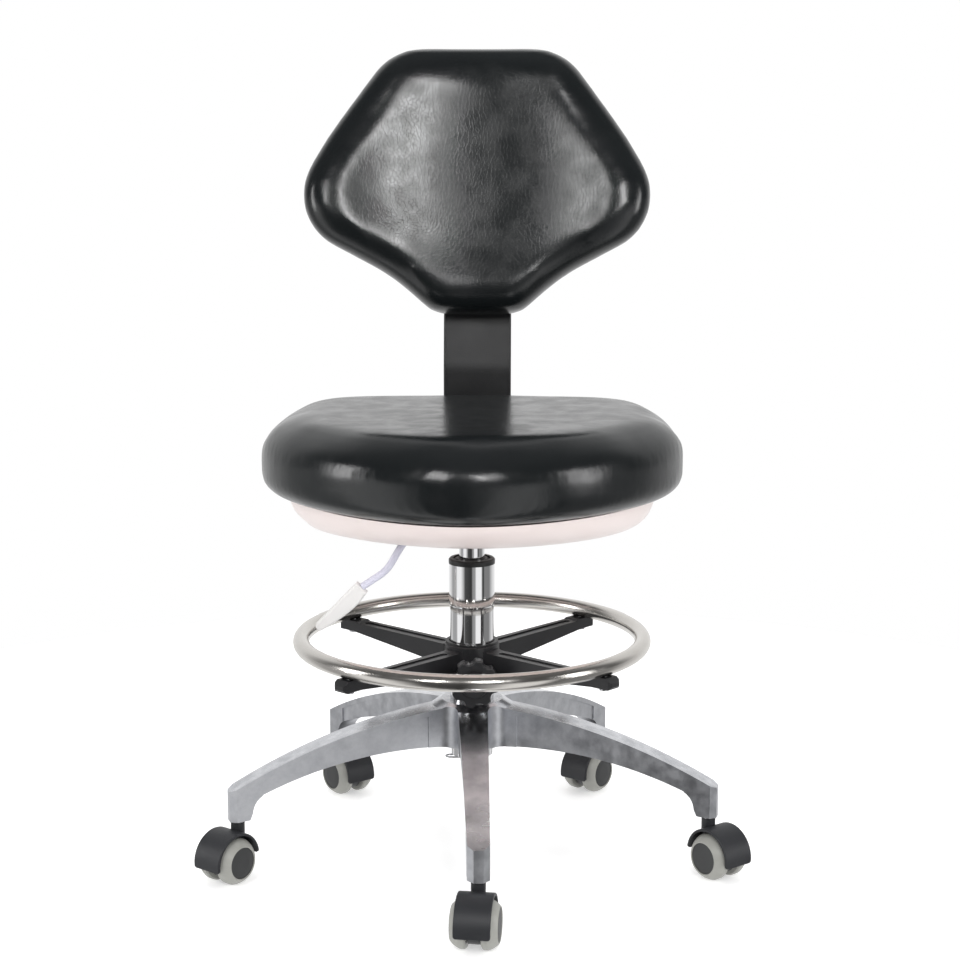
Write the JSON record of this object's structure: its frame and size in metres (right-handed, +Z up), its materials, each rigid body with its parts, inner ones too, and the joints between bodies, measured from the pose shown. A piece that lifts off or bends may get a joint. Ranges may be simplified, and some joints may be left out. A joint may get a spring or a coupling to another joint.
{
  "type": "dentist stool",
  "caption": "Height-adjustable dentist stool on a star base with swivelling casters, with a foot ring, a padded seat and a leaning padded back",
  "frame": {"origin": "on the floor, under the column's axis", "axes": "+Z up along the column, the sitter faces -Y, +X to the sitter's left"},
  "size_m": [0.5946, 0.6201, 0.8885],
  "materials": {
    "hood_plastic": "fine texture",
    "wheel_plastic": "smooth",
    "tread": "satin",
    "steel": "zinc",
    "polished_aluminium": "polished",
    "chrome": "mirror",
    "stainless": "polished",
    "black_plastic": "textured",
    "black_nylon": "satin",
    "white_gloss": "gloss",
    "plywood": "raw",
    "black_leather": "fine grain",
    "black_steel": "powder coat",
    "white_painted": "gloss",
    "white_plastic": "satin"
  },
  "bodies": {
    "base": {"base_star": "polished_aluminium", "caster_stems": "steel", "column_tube": "chrome", "column_bush": "black_plastic", "thrust_bearing": "steel"},
    "lift_rod": {"piston_rod": "steel", "retaining_clip": "steel"},
    "seat": {"gas_cylinder": "chrome", "seat_mechanism": "black_steel", "seat_pan": "white_gloss", "seat_board": "plywood", "seat_cushion": "black_leather", "seat_bolts": "steel"},
    "release_pin": {"release_pin": "steel"},
    "lever": {"lever_rod": "white_painted", "lever_handle": "white_plastic"},
    "ring_sleeve": {"footring_sleeve": "black_plastic"},
    "foot_ring": {"footring_hub": "black_nylon", "footring_tube": "stainless", "footring_screws": "steel"},
    "ring_knob": {"footring_knob": "black_nylon"},
    "back": {"back_bar": "black_steel", "back_bar_cover": "black_plastic"},
    "depth_knob": {"back_depth_knob": "black_nylon"},
    "backrest": {"backrest_cushion": "black_leather", "backrest_shell": "black_plastic", "backrest_bracket": "black_plastic", "backrest_screws": "steel"},
    "height_knob": {"back_height_knob": "black_nylon"},
    "caster_1": {"caster_1_hood": "hood_plastic", "caster_1_axle": "steel"},
    "caster_1_left": {"caster_1_wheel_left": "wheel_plastic", "caster_1_tyre_left": "tread"},
    "caster_1_right": {"caster_1_wheel_right": "wheel_plastic", "caster_1_tyre_right": "tread"},
    "caster_2": {"caster_2_hood": "hood_plastic", "caster_2_axle": "steel"},
    "caster_2_left": {"caster_2_wheel_left": "wheel_plastic", "caster_2_tyre_left": "tread"},
    "caster_2_right": {"caster_2_wheel_right": "wheel_plastic", "caster_2_tyre_right": "tread"},
    "caster_3": {"caster_3_hood": "hood_plastic", "caster_3_axle": "steel"},
    "caster_3_left": {"caster_3_wheel_left": "wheel_plastic", "caster_3_tyre_left": "tread"},
    "caster_3_right": {"caster_3_wheel_right": "wheel_plastic", "caster_3_tyre_right": "tread"},
    "caster_4": {"caster_4_hood": "hood_plastic", "caster_4_axle": "steel"},
    "caster_4_left": {"caster_4_wheel_left": "wheel_plastic", "caster_4_tyre_left": "tread"},
    "caster_4_right": {"caster_4_wheel_right": "wheel_plastic", "caster_4_tyre_right": "tread"},
    "caster_5": {"caster_5_hood": "hood_plastic", "caster_5_axle": "steel"},
    "caster_5_left": {"caster_5_wheel_left": "wheel_plastic", "caster_5_tyre_left": "tread"},
    "caster_5_right": {"caster_5_wheel_right": "wheel_plastic", "caster_5_tyre_right": "tread"}
  },
  "joints": [
    {"name": "caster_1_swivel", "type": "hinge", "parent": "base", "child": "caster_1", "pos_m": [0.01397, -0.26663, 0.055], "axis": [0, 0, 1], "continuous": true},
    {"name": "caster_1_roll_left", "type": "hinge", "parent": "caster_1", "child": "caster_1_left", "pos_m": [0.0119, -0.28351, 0.025], "axis": [-0.9925, 0.1219, 0], "continuous": true},
    {"name": "caster_1_roll_right", "type": "hinge", "parent": "caster_1", "child": "caster_1_right", "pos_m": [0.0119, -0.28351, 0.025], "axis": [-0.9925, 0.1219, 0], "continuous": true},
    {"name": "caster_2_swivel", "type": "hinge", "parent": "base", "child": "caster_2", "pos_m": [0.2579, -0.0691, 0.055], "axis": [0, 0, 1], "continuous": true},
    {"name": "caster_2_roll_left", "type": "hinge", "parent": "caster_2", "child": "caster_2_left", "pos_m": [0.2686, -0.08232, 0.025], "axis": [-0.7771, -0.6293, 0], "continuous": true},
    {"name": "caster_2_roll_right", "type": "hinge", "parent": "caster_2", "child": "caster_2_right", "pos_m": [0.2686, -0.08232, 0.025], "axis": [-0.7771, -0.6293, 0], "continuous": true},
    {"name": "caster_3_swivel", "type": "hinge", "parent": "base", "child": "caster_3", "pos_m": [0.14542, 0.22393, 0.055], "axis": [0, 0, 1], "continuous": true},
    {"name": "caster_3_roll_left", "type": "hinge", "parent": "caster_3", "child": "caster_3_left", "pos_m": [0.13519, 0.21035, 0.025], "axis": [-0.7986, 0.6018, 0], "continuous": true},
    {"name": "caster_3_roll_right", "type": "hinge", "parent": "caster_3", "child": "caster_3_right", "pos_m": [0.13519, 0.21035, 0.025], "axis": [-0.7986, 0.6018, 0], "continuous": true},
    {"name": "caster_4_swivel", "type": "hinge", "parent": "base", "child": "caster_4", "pos_m": [-0.16803, 0.2075, 0.055], "axis": [0, 0, 1], "continuous": true},
    {"name": "caster_4_roll_left", "type": "hinge", "parent": "caster_4", "child": "caster_4_left", "pos_m": [-0.15733, 0.19429, 0.025], "axis": [-0.7771, -0.6293, 0], "continuous": true},
    {"name": "caster_4_roll_right", "type": "hinge", "parent": "caster_4", "child": "caster_4_right", "pos_m": [-0.15733, 0.19429, 0.025], "axis": [-0.7771, -0.6293, 0], "continuous": true},
    {"name": "caster_5_swivel", "type": "hinge", "parent": "base", "child": "caster_5", "pos_m": [-0.24927, -0.09568, 0.055], "axis": [0, 0, 1], "continuous": true},
    {"name": "caster_5_roll_left", "type": "hinge", "parent": "caster_5", "child": "caster_5_left", "pos_m": [-0.2595, -0.10926, 0.025], "axis": [-0.7986, 0.6018, 0], "continuous": true},
    {"name": "caster_5_roll_right", "type": "hinge", "parent": "caster_5", "child": "caster_5_right", "pos_m": [-0.2595, -0.10926, 0.025], "axis": [-0.7986, 0.6018, 0], "continuous": true},
    {"name": "seat_swivel", "type": "hinge", "parent": "base", "child": "lift_rod", "pos_m": [0, 0, 0.124], "axis": [0, 0, 1], "continuous": true},
    {"name": "seat_lift", "type": "slide", "parent": "lift_rod", "child": "seat", "axis": [0, 0, 1], "range_m": [0, 0.14]},
    {"name": "lever_lift", "type": "hinge", "parent": "seat", "child": "lever", "pos_m": [-0.03, 0, 0.385], "axis": [0, 1, 0], "range_deg": [0, 7], "stiffness_Nm_per_rad": 1, "springref_deg": -8.59},
    {"name": "pin_press", "type": "slide", "parent": "seat", "child": "release_pin", "axis": [0, 0, -1], "range_m": [0, 0.0045]},
    {"name": "ring_height", "type": "slide", "parent": "base", "child": "ring_sleeve", "axis": [0, 0, 1], "range_m": [-0.005, 0.08]},
    {"name": "ring_turn", "type": "hinge", "parent": "ring_sleeve", "child": "foot_ring", "pos_m": [0, 0, 0.215], "axis": [0, 0, 1], "continuous": true},
    {"name": "ring_knob_turn", "type": "hinge", "parent": "foot_ring", "child": "ring_knob", "pos_m": [0.00349, -0.04988, 0.207], "axis": [0.0698, -0.9976, 0], "range_deg": [0, 270]},
    {"name": "back_depth", "type": "slide", "parent": "seat", "child": "back", "axis": [0, 1, 0], "range_m": [-0.004, 0.035]},
    {"name": "depth_knob_turn", "type": "hinge", "parent": "seat", "child": "depth_knob", "pos_m": [0, 0.125, 0.343], "axis": [0, 0, -1], "range_deg": [0, 270]},
    {"name": "back_height", "type": "slide", "parent": "back", "child": "backrest", "axis": [0, 0.1822, 0.9833], "range_m": [0, 0.05]},
    {"name": "height_knob_turn", "type": "hinge", "parent": "backrest", "child": "height_knob", "pos_m": [0, 0.28399, 0.72207], "axis": [0, 0.9833, -0.1822], "range_deg": [0, 270]}
  ],
  "couplings": [
    {"joint": "pin_press", "follows": "lever_lift", "m_per_rad": 0.034}
  ]
}
